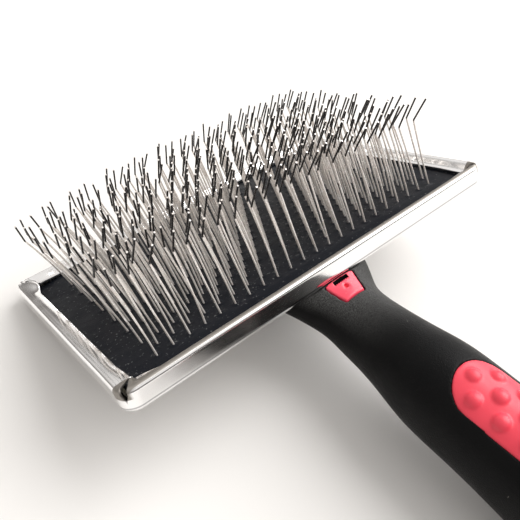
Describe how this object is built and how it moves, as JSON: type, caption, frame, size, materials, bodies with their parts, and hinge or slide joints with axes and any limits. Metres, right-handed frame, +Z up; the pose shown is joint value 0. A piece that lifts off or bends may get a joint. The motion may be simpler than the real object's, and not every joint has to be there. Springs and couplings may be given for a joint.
{
  "type": "slicker brush",
  "caption": "Pet grooming slicker brush: long bent wire pins in a cushioned rubber pad, held in a rolled chrome tray on an angled two-colour moulded handle with a hanging hole.",
  "frame": {"origin": "on the table, under the middle of the brush's box, with the brush lying on its tray's far edge and its handle's butt, pins up", "axes": "+Y along the brush from the handle's butt to the head, +X along the head's long side, +Z up from the table on the pins' side"},
  "size_m": [0.1068, 0.1996, 0.0457],
  "materials": {
    "tray_chrome": "bright chrome-plated sheet steel",
    "pin_steel": "drawn bright steel wire with cut tips",
    "pad_rubber": "matt black rubber sheet, slightly dusty",
    "pad_fabric": "plain woven backing cloth",
    "foam": "soft cellular foam",
    "screw_steel": "zinc-plated",
    "core_red": "glossy moulded plastic",
    "sleeve_black": "soft-touch moulded rubber with a fine grain",
    "thumb_red": "soft moulded rubber, satin",
    "plug_red": "satin moulded plastic"
  },
  "bodies": {
    "root": {"end_plug": "plug_red", "fabric_backing": "pad_fabric", "foam_cushion": "foam", "grip_sleeve": "sleeve_black", "handle_core": "core_red", "head_tray": "tray_chrome", "pin_row_01": "pin_steel", "pin_row_02": "pin_steel", "pin_row_03": "pin_steel", "pin_row_04": "pin_steel", "pin_row_05": "pin_steel", "pin_row_06": "pin_steel", "pin_row_07": "pin_steel", "pin_row_08": "pin_steel", "pin_row_09": "pin_steel", "pin_row_10": "pin_steel", "pin_row_11": "pin_steel", "pin_row_12": "pin_steel", "pin_row_13": "pin_steel", "pin_row_14": "pin_steel", "pin_row_15": "pin_steel", "pin_row_16": "pin_steel", "rubber_pad": "pad_rubber", "thumb_pad": "thumb_red", "tray_screws": "screw_steel"}
  },
  "joints": []
}
